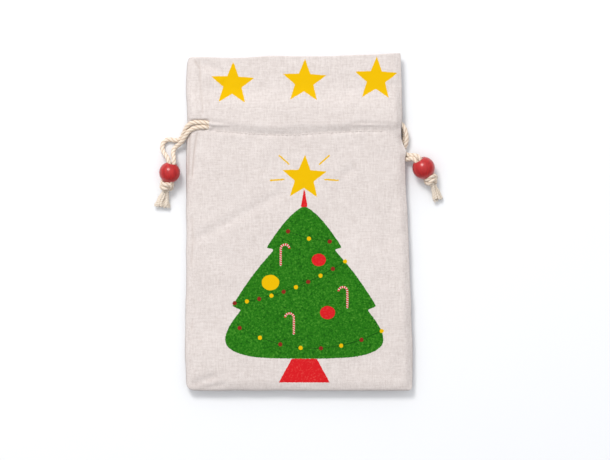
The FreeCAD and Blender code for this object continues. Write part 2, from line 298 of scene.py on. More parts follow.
# The tan of cords and yarns is partly their own patchy tone and partly painted shade between their
# strands.
CORD_LIGHT = (0.800, 0.690, 0.575, 1.0)
CORD_TAN_AND_SHADE = (0.595, 0.455, 0.350, 1.0)
YARN_LIGHT = (0.840, 0.745, 0.635, 1.0)
YARN_TAN_AND_SHADE = (0.650, 0.525, 0.415, 1.0)
THREAD_LIGHT = (0.70, 0.64, 0.61, 1.0)
THREAD_DARK = (0.58, 0.52, 0.49, 1.0)
PAPER_LIGHT = (0.822, 0.828, 0.848, 1.0)
PAPER_DARK = (0.812, 0.818, 0.838, 1.0)
BEAD_RED = (0.490, 0.008, 0.008, 1.0)
BEAD_DARK = (0.335, 0.002, 0.004, 1.0)
WEAVE_PITCH = 1.24
# How far an ink's edge fades, in millimetres, and how closely the candy canes' stripes follow.
INK_EDGE = 0.14
CANE_STRIPE = 4.2


def cloth_material(name, printed):
    """Plain-woven cotton with slubs, and where the cloth is printed, the print and painted shade along its
    folds.
    """
    shader = Shader(name)
    warp = shader.threads(WEAVE_PITCH, "X")
    weft = shader.threads(WEAVE_PITCH, "Y")
    weave = shader.math("MULTIPLY", warp, weft)
    grain = shader.noise(1.1, 3.0, roughness=0.7)
    slub_along = shader.noise(1.0, 2.0, (0.8, 7.0, 1.0))
    slub_across = shader.noise(1.0, 2.0, (7.0, 0.8, 1.0))
    slubs = shader.math("ADD", slub_along, slub_across)
    patches = shader.noise(26.0, 2.0)
    tone = shader.weighted((slubs, 0.34), (grain, 0.50), (weave, 0.05), (patches, 0.12))
    colour = shader.mix(shader.ramp(tone, 0.41, 0.86), CLOTH_DARK, CLOTH_LIGHT)
    if printed:
        # Painted shade: the cloth darkens towards the fold colour along the folds.
        colour = shader.mix(shader.math("MULTIPLY", shader.value("fold"), 0.85), colour, CLOTH_FOLD_SHADE)
        ragged = shader.math("MULTIPLY", shader.math("SUBTRACT", grain, 0.5), 0.9)
        fine = shader.noise(1.3, 3.0, roughness=0.8)
        green = shader.mix(shader.ramp(fine, 0.50, 0.72), GREEN_INK, GREEN_THIN)
        green = shader.mix(shader.ramp(fine, 0.50, 0.32), green, DARK_GREEN)
        red = shader.mix(shader.ramp(fine, 0.50, 0.78), RED_INK, RED_THIN)
        stripe = shader.math("SINE", shader.math("MULTIPLY", shader.value("print_along"), CANE_STRIPE))
        cane = shader.mix(shader.ramp(stripe, -0.5, 0.1), CANE_WHITE, RED_INK)
        inks = (("green", green), ("garland", DARK_GREEN), ("red", red), ("maroon", DARK_RED),
                ("yellow", YELLOW_INK), ("cane", cane))
        for key, ink in inks:
            edge = shader.math("ADD", shader.value("print_" + key), ragged)
            colour = shader.mix(shader.ramp(edge, INK_EDGE, -INK_EDGE), colour, ink)
    shader.bump(shader.weighted((weave, 0.5), (grain, 0.9), (slubs, 0.7)), 0.35, 0.16)
    rough = shader.ramp(grain, 0.3, 0.7, 0.82, 0.95)
    return shader.finish(colour, roughness=rough, specular_ior_level=0.08, sheen_weight=0.03)


def cord_material(name, light, tan_and_shade):
    """Twisted cotton with painted shade between its strands, and fine yarns."""
    shader = Shader(name)
    strand = shader.value("strand")
    turn = shader.math("MULTIPLY", shader.value("around"), 9.0)
    shift = shader.math("MULTIPLY", shader.value("along"), 2.2)
    fibre = shader.math("SINE", shader.math("ADD", turn, shift))
    patch = shader.noise(1.1, 3.0, roughness=0.7)
    # Painted shade: the strand value darkens the grooves between the strands towards tan, while the patch
    # noise varies the tone at random.
    tone = shader.weighted((strand, 0.75), (patch, 0.5), (fibre, 0.05))
    colour = shader.mix(shader.ramp(tone, 0.30, 0.95), tan_and_shade, light)
    shader.bump(shader.weighted((fibre, 0.5), (patch, 1.0)), 0.55, 0.22)
    rough = shader.ramp(patch, 0.3, 0.7, 0.75, 0.92)
    return shader.finish(colour, roughness=rough, specular_ior_level=0.12, sheen_weight=0.05)


def bead_material():
    """Red paint on turned wood, with faint grain and scuffs under a clear coat."""
    shader = Shader("red_bead_paint")
    grain = shader.noise(2.6, 3.0, (0.45, 2.4, 0.45))
    scuff = shader.noise(1.0, 5.0, roughness=0.7)
    colour = shader.mix(shader.ramp(grain, 0.30, 0.70), BEAD_DARK, BEAD_RED)
    shader.bump(shader.weighted((grain, 0.8), (scuff, 0.3)), 0.12, 0.25)
    rough = shader.ramp(scuff, 0.35, 0.75, 0.26, 0.42)
    return shader.finish(colour, roughness=rough, specular_ior_level=0.05, coat_weight=1.0,
                         coat_roughness=0.28)


def thread_material():
    """Sewing thread with a fine twist."""
    shader = Shader("sewing_thread")
    patch = shader.noise(0.5, 2.0)
    twist = shader.math("SINE", shader.math("MULTIPLY", shader.value("along"), 14.0))
    colour = shader.mix(shader.ramp(patch, 0.3, 0.7), THREAD_DARK, THREAD_LIGHT)
    shader.bump(shader.math("ADD", twist, patch), 0.4, 0.1)
    rough = shader.ramp(patch, 0.3, 0.7, 0.6, 0.8)
    return shader.finish(colour, roughness=rough)


def floor_material():
    """Matt white paper."""
    shader = Shader("white_paper")
    patch = shader.noise(160.0, 2.0)
    colour = shader.mix(shader.ramp(patch, 0.2, 0.8), PAPER_DARK, PAPER_LIGHT)
    return shader.finish(colour, roughness=0.7)


PRINTED_CLOTH = cloth_material("printed_cotton", True)
PLAIN_CLOTH = cloth_material("plain_cotton", False)
CORD = cord_material("cotton_cord", CORD_LIGHT, CORD_TAN_AND_SHADE)
YARN = cord_material("cotton_yarn", YARN_LIGHT, YARN_TAN_AND_SHADE)
THREAD = thread_material()
BEAD_PAINT = bead_material()


# ---- cords

CORD_RADIUS = 1.5
CORD_LAY = 10.0
ROPE_RADIUS = 1.62
ROPE_DEPTH = 0.15
LOWER_TURN = 1.0

# Strands from inside the casing to the knots, and the loops round the casing.
LEFT_UPPER = [
    (-58.0, 67.8, 9.2), (-62.5, 69.1, 9.9), (-68.0, 69.5, 9.9), (-73.6, 69.2, 9.4),
    (-76.8, 66.6, 8.0), (-78.7, 62.4, 5.6), (-80.6, 58.2, 3.2), (-84.4, 57.0, 1.8),
    (-90.2, 58.4, 1.65), (-94.0, 54.8, 1.8), (-93.2, 49.4, 3.6), (-89.9, 45.6, 7.4),
    (-88.7, 41.6, 8.5), (-89.3, 38.0, 7.9), (-90.31, 33.8, 7.06), (-91.64, 27.44, 5.91),
]
LEFT_LOWER = [
    (-58.6, 65.6, 7.4), (-62.3, 66.1, 9.2), (-65.8, 66.3, 9.7), (-70.0, 65.9, 9.5),
    (-74.4, 64.4, 9.2), (-77.4, 60.6, 8.3), (-79.8, 56.6, 6.6), (-82.4, 54.2, 4.6),
    (-85.3, 52.2, 3.5), (-86.4, 48.6, 4.8), (-85.3, 44.6, 7.9), (-85.7, 40.2, 8.4),
    (-86.4, 36.8, 7.8), (-87.29, 33.12, 7.06), (-88.82, 26.8, 5.91),
]
RIGHT_UPPER = [
    (58.0, 72.9, 9.2), (62.5, 72.5, 8.4), (66.6, 71.2, 6.2), (70.2, 68.6, 4.9),
    (72.9, 64.4, 4.8), (73.8, 59.0, 4.8), (73.2, 54.6, 4.0), (71.6, 51.2, 1.9),
    (72.6, 47.6, 2.4), (76.4, 46.9, 5.0), (80.6, 46.9, 7.6), (83.5, 43.4, 8.3),
    (87.45, 37.58, 7.56), (90.91, 32.08, 6.41),
]
RIGHT_LOWER = [
    (58.0, 72.9, 2.1), (63.0, 72.3, 1.9), (67.6, 69.8, 1.75), (70.9, 65.6, 1.7),
    (72.6, 60.6, 1.7), (71.4, 55.8, 1.7), (68.8, 52.6, 1.7), (68.2, 48.2, 1.7),
    (70.4, 44.5, 1.9), (74.2, 44.0, 4.2), (78.0, 45.2, 7.2), (81.0, 41.6, 8.2),
    (84.85, 35.9, 7.56), (88.47, 30.5, 6.41),
]
LEFT_LOOP = [
    (-58.0, 67.8, 9.2), (-50.0, 67.8, 8.7), (-20.0, 67.8, 8.7), (30.0, 67.8, 8.7),
    (59.0, 67.8, 8.7), (63.3, 67.8, 8.5), (63.3, 67.8, 2.4), (59.0, 67.8, 2.1),
    (30.0, 67.8, 2.1), (-20.0, 67.8, 2.1), (-48.0, 67.4, 2.1), (-54.6, 66.2, 4.2), (-58.6, 65.6, 7.4),
]
RIGHT_LOOP = [
    (58.0, 72.9, 9.2), (20.0, 72.9, 9.2), (-30.0, 72.9, 9.2), (-64.5, 72.9, 9.2),
    (-68.8, 72.9, 9.0), (-68.8, 72.9, 2.4), (-64.5, 72.9, 2.1), (-30.0, 72.9, 2.1),
    (20.0, 72.9, 2.1), (58.0, 72.9, 2.1),
]


def rope(name, node, body, route, turn):
    """Three-strand cord along a route. Returns the piece and its line."""
    line = smooth_line(name, [tuple(value * MM for value in place) for place in route])
    shape = tube(line, ROPE_RADIUS, sides=30, lobes=3, lay=CORD_LAY, depth=ROPE_DEPTH, turn=turn)
    return stand_in(joined_tubes(name, [shape], CORD), body, node), line


ROUTES = {
    "left": {"upper": LEFT_UPPER, "lower": LEFT_LOWER, "loop": LEFT_LOOP},
    "right": {"upper": RIGHT_UPPER, "lower": RIGHT_LOWER, "loop": RIGHT_LOOP},
}
ropes, lines = {}, {}
for side, routes in ROUTES.items():
    for part, route in routes.items():
        node = f"{side}_cord_loop" if part == "loop" else f"{side}_cord_{part}_tail"
        turn = LOWER_TURN if part == "lower" else 0.0
        result = rope(f"{side}_{part}_rope", node, f"{side}_cord", route, turn)
        ropes[side, part], lines[side, part] = result


def axis_frame(axis):
    """Three directions with the last one along the axis."""
    forward = np.array(axis, float)
    forward /= np.linalg.norm(forward)
    across = np.cross(forward, (0.0, 0.0, 1.0))
    across /= np.linalg.norm(across)
    return across, np.cross(across, forward), forward


# The knot's two strands: how often they wind, their way out from the axis and along it.
KNOT_TURNS = 1.35
KNOT_CORE, KNOT_BULGE = 0.6, 2.95
KNOT_TOP, KNOT_LENGTH = -4.0, 7.2
KNOT_WAVE = 0.9
KNOT_STRAND_RADIUS = 1.7
KNOT_LAY = 9.0


def knot_piece(name, node, body, centre, axis, first_turn):
    """Overhand knot of the doubled cord: two strands that wind round the axis and cross."""
    across, up, forward = axis_frame(axis)
    strands = []
    for start in (0.0, math.pi):
        t = np.linspace(0.0, 1.0, 60)
        turn = start + first_turn + 2 * math.pi * KNOT_TURNS * t
        out = KNOT_CORE + KNOT_BULGE * np.sin(np.pi * t) ** 0.5
        place = KNOT_TOP + KNOT_LENGTH * t + KNOT_WAVE * np.sin(turn * 2.0 + 0.6)
        line = np.array(centre) + np.outer(out * np.cos(turn), across)
        line = line + np.outer(out * np.sin(turn) * 0.96, up) + np.outer(place, forward)
        strands.append(tube(line, KNOT_STRAND_RADIUS, sides=24, lobes=3, lay=KNOT_LAY, depth=0.17,
                            turn=start, ends=0.6))
    return stand_in(joined_tubes(name, strands, CORD), body, node)


BUNDLE_RADIUS = (0.84, 1.04)
YARN_RADIUS = (0.20, 0.32)
YARN_LAY = 3.4
TASSEL_NECK = 1.3
TASSEL_DEPTH = 1.5


def tassel_piece(name, node, body, neck, tip, spread, bundles, seed):
    """Cord ends teased out into wavy bundles and loose yarns that fan over the floor."""
    rng = np.random.default_rng(seed)
    neck, tip = np.array(neck), np.array(tip)
    across, up, forward = axis_frame(tip - neck)
    reach = np.linalg.norm(tip - neck)
    strands = []
    for number in range(bundles * 3):
        thick = number < bundles
        radius = rng.uniform(*BUNDLE_RADIUS) if thick else rng.uniform(*YARN_RADIUS)
        lane = (number % bundles + 0.5) / bundles * 2.0 - 1.0
        lane = lane + rng.uniform(-0.18, 0.18)
        layer = rng.uniform(-1.0, 1.0)
        span = reach * rng.uniform(0.88, 1.02) + (0.0 if thick else rng.uniform(-0.8, 1.0))
        t = np.linspace(0.0, 1.0, 40)
        wave = rng.uniform(0.25, 0.6) * np.sin(rng.uniform(2.0, 3.6) * math.pi * t + rng.uniform(0, 6.28))
        aside = lane * (TASSEL_NECK + (spread - TASSEL_NECK) * ease(t)) + wave * t
        lift = layer * (TASSEL_DEPTH - 0.2 * t) + 0.35 * np.cos(5.0 * t + 6.0 * layer)
        line = neck + np.outer(span * t - 0.8, forward) + np.outer(aside, across) + np.outer(lift, up)
        line[:, 2] = np.maximum(line[:, 2], radius + 0.1)
        strands.append(tube(line, radius, sides=14 if thick else 7, step=0.4, lobes=2 if thick else 0,
                            lay=YARN_LAY, depth=0.2, turn=rng.uniform(0, 6.28), ends=0.55))
    return stand_in(joined_tubes(name, strands, YARN), body, node)


# The bead sits a little away from its place, on the side without the knot.
BEAD_SHIFT = 0.4
BEAD_HALF_LENGTH = 6.5
BEAD_BORE = 3.4
BEAD_LIP = 0.36
BEAD_SIDES = 96


def bead_piece(name, node, centre, axis, radius):
    """Turned bead: a cut ball with rounded lips and a bore."""
    across, up, forward = axis_frame(axis)
    lip_angle = math.asin((BEAD_HALF_LENGTH - BEAD_LIP) / radius)
    outer = [(radius * math.cos(a), radius * math.sin(a)) for a in np.linspace(-lip_angle, lip_angle, 48)]
    end_radius, end_height = outer[-1]
    middle = (end_radius + BEAD_BORE) / 2.0
    lip_top = [(middle + (end_radius - middle) * math.cos(a), end_height + BEAD_LIP * math.sin(a))
               for a in np.linspace(0.25, math.pi, 9)]
    bore_wall = [(BEAD_BORE, height) for height in np.linspace(end_height - 0.4, -end_height + 0.4, 12)]
    lip_bottom = [(r, -h) for r, h in reversed(lip_top)]
    profile = outer + lip_top + bore_wall + lip_bottom
    angle = np.linspace(0.0, 2 * math.pi, BEAD_SIDES, endpoint=False)
    rings = []
    for distance, height in profile:
        ring = np.outer(distance * np.cos(angle), across) + np.outer(distance * np.sin(angle), up)
        rings.append(np.array(centre) + ring + (height - BEAD_SHIFT) * forward)
    faces = grid_faces(len(profile) + 1, BEAD_SIDES, wrap=True) % (len(profile) * BEAD_SIDES)
    mesh = build_mesh(name, np.concatenate(rings), faces.reshape(-1, 4).tolist())
    piece = add_object(name, mesh, BEAD_PAINT)
    return stand_in(piece, node, node)


# The bead and the way from it to the knot, the knot's first turn, the tassel's neck, tip, spread,
# bundles and seed, and the point of the routes where the strands leave the casing.
CORD_ENDS = {
    "left": {
        "bead": (-88.5, 34.8, 7.3), "radius": 7.25, "axis": (-0.2167, -0.9602, -0.1736), "turn": 0.4,
        "tassel": ((-91.0, 23.8, 5.1), (-94.4, 10.6, 2.4), 4.7, 12, 5), "exit": 1,
    },
    "right": {
        "bead": (85.4, 37.9, 7.8), "radius": 7.75, "axis": (0.5364, -0.8258, -0.1736), "turn": 1.3,
        "tassel": ((91.4, 28.3, 5.4), (95.7, 15.6, 2.4), 3.2, 9, 8), "exit": 3,
    },
}
KNOT_DISTANCE = 8.4

for side, end in CORD_ENDS.items():
    body = f"{side}_cord"
    knot_centre = np.array(end["bead"]) + KNOT_DISTANCE * np.array(end["axis"])
    bead = bead_piece(f"{side}_turned_bead", f"{side}_bead", end["bead"], end["axis"], end["radius"])
    knot = knot_piece(f"{side}_rope_knot", f"{side}_knot", body, knot_centre, end["axis"], end["turn"])
    tassel = tassel_piece(f"{side}_yarn_tassel", f"{side}_tassel", body, *end["tassel"])
    for part in ("upper", "lower"):
        line = lines[side, part]


# ---- cloth shape

# Levels, reaches and places are in millimetres.
CLOTH = 0.45
BODY_LEVEL = 9.2
CASING_LEVEL = 11.3
CASING_TOP = 94.0
CASING_FALL = 17.0
CASING_FLANK = 7.6
SEAM_LEVEL = 4.8
FRONT_REACH = 7.0
RIGHT_REACH_SHARE = 0.80
CASING_REACH = 6.5
# The casing ends left of this place, below this height.
CASING_END = (-61.2, 72.0)
BACK_REACH = 9.0
BOTTOM = -114.0
UPPER_STITCH = 79.8
VALLEY_DEPTH = 0.36
UPPER_STITCH_DEPTH = 0.10
BACK_STITCH_DEPTH = 0.28
STITCH_PULL_WIDTH = 1.25
PUCKER_LENGTH = 5.6
FOLD_DEPTH = 0.60
BOTTOM_REACH = 7.5
RIGHT_LIFT = 1.9
GAP_LOW = 58.0
# Height, cell, slant and seed of the front's waves.
FRONT_WAVES = [(0.75, 46.0, 0.0, 51), (0.40, 19.0, 0.4, 52), (0.14, 7.5, -0.3, 53), (0.05, 3.2, 0.0, 54)]

# Outlines, as (y, x) along the two sides and as (x, y) along the mouth and the lower stitches.
LEFT_EDGE = [
    (-114.0, -77.2), (-100.0, -77.7), (-82.0, -78.1), (-58.0, -77.6), (-25.0, -77.2), (20.0, -77.2),
    (55.0, -77.0), (71.0, -76.4), (85.0, -77.0), (98.0, -77.4), (114.0, -76.4),
]
RIGHT_EDGE = [
    (-114.0, 77.3), (-98.0, 77.7), (-65.0, 77.0), (-25.0, 75.6), (3.0, 74.4), (30.0, 72.9),
    (43.0, 72.6), (49.0, 73.2), (54.0, 71.0), (58.0, 70.1), (64.0, 69.9), (71.0, 70.6), (85.0, 70.3),
    (114.0, 69.4),
]
TOP_EDGE = [
    (-77.0, 113.6), (-61.0, 113.4), (-47.0, 113.0), (-33.0, 113.3), (-20.0, 114.3), (0.0, 114.0),
    (28.0, 114.4), (42.0, 115.0), (70.0, 116.3),
]
VALLEY_LINE = [
    (-78.0, 62.6), (-62.0, 63.8), (-46.0, 62.6), (-28.0, 61.4), (-6.0, 60.8), (21.0, 62.4),
    (48.0, 63.5), (72.0, 63.2),
]
# Side, end and radius.
CORNERS = [("left", "top", 2.8), ("right", "top", 1.0), ("left", "bottom", 6.0), ("right", "bottom", 3.0)]
# Where the seam allowance shows through near the left edge, with a groove and painted shade along each
# line: (y, steps in from it), and strength.
FOLD_LINES = [
    ([(31.0, 1.5), (46.0, 1.9), (63.0, 2.2)], 0.8),
    ([(31.0, 4.0), (46.0, 5.2), (63.0, 7.3)], 1.0),
    ([(74.0, 11.0), (85.0, 10.6), (100.0, 9.6), (113.0, 8.4)], 0.55),
    ([(104.0, 9.8), (108.0, 7.6), (112.5, 4.8)], 0.9),
    ([(-30.0, 3.6), (-12.0, 4.6), (6.0, 3.8)], 0.5),
    ([(-74.0, 4.6), (-64.0, 5.2)], 0.45),
]


def left_edge(y):
    """Left edge at a height y, slightly uneven."""
    return curve_through(LEFT_EDGE, y) + 0.22 * soft_noise(0 * y, y, 9.0, 21)


def right_edge(y):
    """Right edge at a height y."""
    return curve_through(RIGHT_EDGE, y) + 0.22 * soft_noise(0 * y, y, 9.0, 22)


def top_edge(x):
    """Edge of the mouth."""
    return curve_through(TOP_EDGE, x) + 0.12 * soft_noise(x, 0 * x, 8.0, 23)


def bottom_edge(x):
    """Fold at the bottom."""
    return BOTTOM + 0.25 * soft_noise(x, 0 * x, 14.0, 24)


def valley_line(x):
    """Line of the casing's lower stitches."""
    return curve_through(VALLEY_LINE, x)


def right_lift(y):
    """How far the front's right edge is raised, from the cord gap to the mouth."""
    return RIGHT_LIFT * ease((y - GAP_LOW) / 5.0)


def seam_height(x, y):
    """Height of the edge where the front and back meet."""
    right = ease((x + 40.0) / 80.0)
    bottom = (1.6 - 0.6 * right) * ease((-108.0 - y) / 6.0)
    return SEAM_LEVEL + bottom + right * (1.0 + right_lift(y)) + 0.3 * soft_noise(x * 0.2, y, 17.0, 31)


def rounded(distance, reach):
    """Quarter-round rise from an edge, 0 at the edge and 1 past the reach."""
    t = np.clip(distance / reach, 0.0, 1.0)
    return np.sqrt(1.0 - (1.0 - t) ** 2)


def casing_weight(x, y):
    """1 over the drawcord casing and 0 away from it."""
    flank = CASING_FLANK + 1.8 * soft_noise(x, 0 * x, 14.0, 43)
    rise = ease((y - valley_line(x)) / flank)
    fall = ease((CASING_TOP - y) / CASING_FALL)
    gap = ease((CASING_END[0] - x) / 1.4) * ease((CASING_END[1] - y) / 1.4)
    return rise * fall * (1.0 - gap)


def pulled_stitches(x, y, line, depth):
    """Valley along a row of stitches, with small puckers where the thread pulls."""
    shift = 1.5 * soft_noise(x, 0 * x, 11.0, 41)
    pucker = 1.0 + 0.60 * np.sin(2 * math.pi * x / PUCKER_LENGTH + shift)
    pucker = pucker * (0.75 + 0.55 * soft_noise(x, 0 * x, 17.0, 42))
    return depth * np.exp(-((y - line) / STITCH_PULL_WIDTH) ** 2) * pucker


def crease(x, y, start, end, depth, width):
    """Soft fold along a straight run."""
    run = np.array(end) - np.array(start)
    share = ((x - start[0]) * run[0] + (y - start[1]) * run[1]) / (run @ run)
    inside = ease(share * 4.0 + 0.5) * ease((1.0 - share) * 4.0 + 0.5)
    share = np.clip(share, 0.0, 1.0)
    gap = np.hypot(x - start[0] - share * run[0], y - start[1] - share * run[1])
    return depth * np.exp(-(gap / width) ** 2) * inside


# Start, end, height (below 0 for a dent) and width of each crease on the front.
CREASES = [
    ((-73.0, -12.0), (-10.0, 22.0), -0.60, 3.6),
    ((-68.0, 4.0), (-40.0, -22.0), 0.30, 5.0),
    ((30.0, 33.0), (39.0, 38.0), -0.55, 3.4),
    ((-66.0, 110.0), (-50.0, 103.5), -0.65, 2.4),
    ((-64.0, 104.0), (-52.0, 98.0), 0.35, 3.0),
    ((61.0, 95.8), (71.0, 94.0), -0.50, 1.8),
    ((40.0, 103.0), (30.0, 84.0), -0.30, 3.0),
    ((48.0, 20.0), (66.0, -8.0), 0.35, 6.0),
    ((56.0, -20.0), (72.0, 30.0), -0.30, 5.0),
    ((-70.0, -60.0), (-56.0, -104.0), 0.35, 5.0),
    ((60.0, -100.0), (72.0, -60.0), 0.35, 5.0),
    ((-74.0, -110.0), (-57.0, -104.0), -0.90, 2.6),
    ((-68.0, -113.0), (-50.0, -109.5), -0.60, 1.8),
]


def fold_groove_and_shade(x, y, width):
    """1 along the folds where the seam allowance shows through, 0 away from them. It sets both the groove
    and the painted shade along the folds.
    """
    marks = np.zeros(x.shape)
    for points, strength in FOLD_LINES:
        gap = x - left_edge(y) - curve_through(points, y)
        inside = ease((y - points[0][0]) / 2.5) * ease((points[-1][0] - y) / 1.5)
        marks = np.maximum(marks, strength * inside * np.exp(-(gap / width) ** 2))
    return marks


def front_height(x, y):
    """Height of the front's outer face."""
    casing = casing_weight(x, y)
    level = BODY_LEVEL + (CASING_LEVEL - BODY_LEVEL) * casing
    reach = FRONT_REACH + (CASING_REACH - FRONT_REACH) * casing
    header = ease((y - 78.0) / 6.0)
    right_gap = np.clip(1.0 - (right_edge(y) - x) / (reach * RIGHT_REACH_SHARE), 0.0, 1.0)
    side = rounded(x - left_edge(y), reach) * (1.0 - right_gap ** 1.6)
    bottom = rounded(y - bottom_edge(x), BOTTOM_REACH)
    base = seam_height(x, y)
    height = base + (level - base) * side * bottom
    loose = side * bottom * (1.0 - 0.85 * casing)
    waves = sum(size * soft_noise(x + slant * y, y, cell, seed) for size, cell, slant, seed in FRONT_WAVES)
    ruffle = 0.42 * soft_noise(x, 0.30 * y, 9.0, 55) * np.exp(-np.abs(y - 86.0) / 9.0) * header
    below = ease((valley_line(x) - y) / 2.0) * np.exp(-np.maximum(valley_line(x) - y, 0.0) / 10.0)
    ruffle = ruffle + 0.45 * soft_noise(x, 0.30 * y, 8.0, 56) * below * (1.0 - header)
    folds = sum(crease(x, y, *spec) for spec in CREASES)
    height = height + loose * (waves + ruffle + folds)
    height = height - pulled_stitches(x, y, valley_line(x), VALLEY_DEPTH) * side
    height = height - pulled_stitches(x, y, UPPER_STITCH, UPPER_STITCH_DEPTH) * side
    return height - FOLD_DEPTH * fold_groove_and_shade(x, y, 0.8)


def back_height(x, y):
    """Height of the back's outer face, which lies on the floor."""
    gap = ease((y - 57.0) / 5.0) * ease((79.0 - y) / 5.0) * ease((x - 56.0) / 6.0)
    base = seam_height(x, y) * (1.0 - gap) + 0.15 * gap
    edge = np.minimum(np.minimum(x - left_edge(y), right_edge(y) - x), y - bottom_edge(x))
    slope = np.clip(1.0 - edge / BACK_REACH, 0.0, 1.0)
    height = 0.04 + base * slope ** 1.15
    waves = 0.30 * (1.0 + soft_noise(x, y, 21.0, 61)) + 0.14 * (1.0 + soft_noise(x, y, 8.0, 62))
    height = height + waves * ease(edge / 9.0) * 0.6
    height = height + pulled_stitches(x, y, valley_line(x), BACK_STITCH_DEPTH)
    return height + pulled_stitches(x, y, UPPER_STITCH, BACK_STITCH_DEPTH)


# Steps along a cord that shapes the cloth, how far to its side it does, and its least gap to it.
CORD_STEP = 0.8
CORD_SWAY = 5.0
CORD_CLEAR = 0.12
CLOTH_COVER = 0.62


def under_cord(height, x, y, line):
    """Lowers the cloth where a cord lies on it."""
    for place in even_line(line, CORD_STEP)[0]:
        gap = np.hypot(x - place[0], y - place[1])
        lower = place[2] - np.sqrt(np.maximum(CORD_RADIUS ** 2 - gap ** 2, 0.0)) - CORD_CLEAR
        lower = lower + 1.1 * np.maximum(gap - 1.2, 0.0)
        height = np.where(gap < CORD_SWAY, np.minimum(height, lower), height)
    return height


def over_cord(height, x, y, line, clear=CORD_CLEAR):
    """Raises the cloth where it lies on a cord."""
    for place in even_line(line, CORD_STEP)[0]:
        gap = np.hypot(x - place[0], y - place[1])
        upper = place[2] + np.sqrt(np.maximum(CORD_RADIUS ** 2 - gap ** 2, 0.0)) + clear
        upper = upper - 0.6 * np.maximum(gap - 1.0, 0.0)
        height = np.where(gap < CORD_SWAY, np.maximum(height, upper), height)
    return height


GRID_WIDTH, GRID_LENGTH = 154.0, 229.0
MEAN_LENGTH = 228.5


def outline_grid(spacing):
    """Even grid over the sack's outline, before its corners are rounded."""
    columns = int(GRID_WIDTH / spacing) + 1
    rows = int(GRID_LENGTH / spacing) + 1
    across, along = np.meshgrid(np.linspace(0.0, 1.0, columns), np.linspace(0.0, 1.0, rows))
    y = BOTTOM + along * MEAN_LENGTH
    x = left_edge(y) + across * (right_edge(y) - left_edge(y))
    y = bottom_edge(x) + along * (top_edge(x) - bottom_edge(x))
    return x, y


def round_corners(x, y):
    """Pulls the corners of the outline in to their radii."""
    for side, end, radius in CORNERS:
        row = -1 if end == "top" else 0
        column = -1 if side == "right" else 0
        corner_x, corner_y = x[row, column], y[row, column]
        inward_x = -1.0 if side == "right" else 1.0
        inward_y = -1.0 if end == "top" else 1.0
        s = np.clip(1.0 - (x - corner_x) * inward_x / radius, 0.0, 1.0)
        t = np.clip(1.0 - (y - corner_y) * inward_y / radius, 0.0, 1.0)
        inside = (s > 0) & (t > 0)
        new_x = corner_x + inward_x * radius * (1.0 - s * np.sqrt(1.0 - t * t / 2.0))
        new_y = corner_y + inward_y * radius * (1.0 - t * np.sqrt(1.0 - s * s / 2.0))
        x = np.where(inside, new_x, x)
        y = np.where(inside, new_y, y)
    return x, y


def rolled_lip(points, sign, radius=0.55, rows=5):
    """Turns the top row over, down for the front and up for the back."""
    extra = []
    for angle in np.linspace(0.0, math.pi, rows + 1)[1:]:
        row = points[-1].copy()
        row[:, 1] += radius * math.sin(angle)
        row[:, 2] -= sign * radius * (1.0 - math.cos(angle))
        extra.append(row)
    return np.concatenate([points, np.array(extra)], axis=0)


def sheet_piece(name, node, points, flip=False, hole=None, marks=None):
    """Cloth of even thickness from a grid of points on its outer face."""
    rows, columns = points.shape[:2]
    faces = grid_faces(rows, columns)
    if hole is not None:
        middle = (points[:-1, :-1] + points[1:, 1:]) / 2.0
        faces = faces[~hole(middle[..., 0], middle[..., 1])]
    faces = faces.reshape(-1, 4)
    used, faces = np.unique(faces, return_inverse=True)
    faces = faces.reshape(-1, 4)
    if flip:
        faces = faces[:, ::-1]
    flat = points.reshape(-1, 3)[used]
    values = marks(flat[:, 0], flat[:, 1]) if marks else None
    outer = PRINTED_CLOTH if marks else PLAIN_CLOTH
    piece = add_object(name, build_mesh(name, flat, faces.tolist(), values), outer, PLAIN_CLOTH)
    thickness = piece.modifiers.new("cloth thickness", "SOLIDIFY")
    thickness.thickness = CLOTH * MM
    thickness.offset = -1.0
    thickness.material_offset = 1
    return stand_in(piece, "sack", node)


# ---- print

PRINT_CENTRE = 3.6
STAR_RADIUS = 14.9
STAR_WAIST = 6.3
TREE_STAR = (PRINT_CENTRE, 31.4, -2.0, 1.08)
HEADER_STARS = [(PRINT_CENTRE + 49.0 * place, 97.2 + 1.7 * place, -2.0, 1.05) for place in (-1, 0, 1)]
RAY_ANGLES = (-4.0, 42.0, 138.0, 184.0)
RAY_START, RAY_END = 14.0, 23.0
RAY_HALF_WIDTH = 0.55
# Right half of the tree from its top down, as steps from the centre line and heights.
TREE_SIDE = [
    (2.2, 12.0), (13.5, 2.0), (26.0, -16.2), (20.5, -17.4), (35.0, -34.0), (49.5, -56.2),
    (43.0, -58.6), (51.5, -69.5), (54.8, -79.0), (52.0, -85.0), (43.0, -89.4), (27.0, -92.0),
]
TRUNK_SIDE = [(8.6, -92.0), (17.4, -108.2)]
TIP_SIDE = [(0.1, 24.6), (2.3, 11.6)]
BAUBLES = [(13.5, -24.5, 4.9, "red"), (-19.5, -40.0, 6.0, "yellow"), (19.5, -60.5, 5.2, "red")]
BAUBLE_FLATNESS = 0.88
# Shaft's place across, its lower and upper height, and the side its hook turns to.
CANES = [(-12.5, -28.0, -17.0, 1), (33.0, -57.0, -46.0, -1), (-3.5, -75.0, -64.0, -1)]
CANE_HOOK = 3.0
CANE_HALF_WIDTH = 0.72
# Start, end, sag and number of lamps.
GARLANDS = [
    ((-7.5, -5.0), (21.0, -12.0), 1.5, 3), ((-44.0, -54.0), (31.5, -25.5), 5.0, 10),
    ((-40.5, -71.0), (56.5, -73.0), 13.0, 8),
]
LAMP_RADIUS = 1.45
HOOK_HALF_WIDTH = 0.3
STRING_HALF_WIDTH = 0.32
# Marks further than this from an ink's edge are all the same.
MARK_LIMIT = 6.0


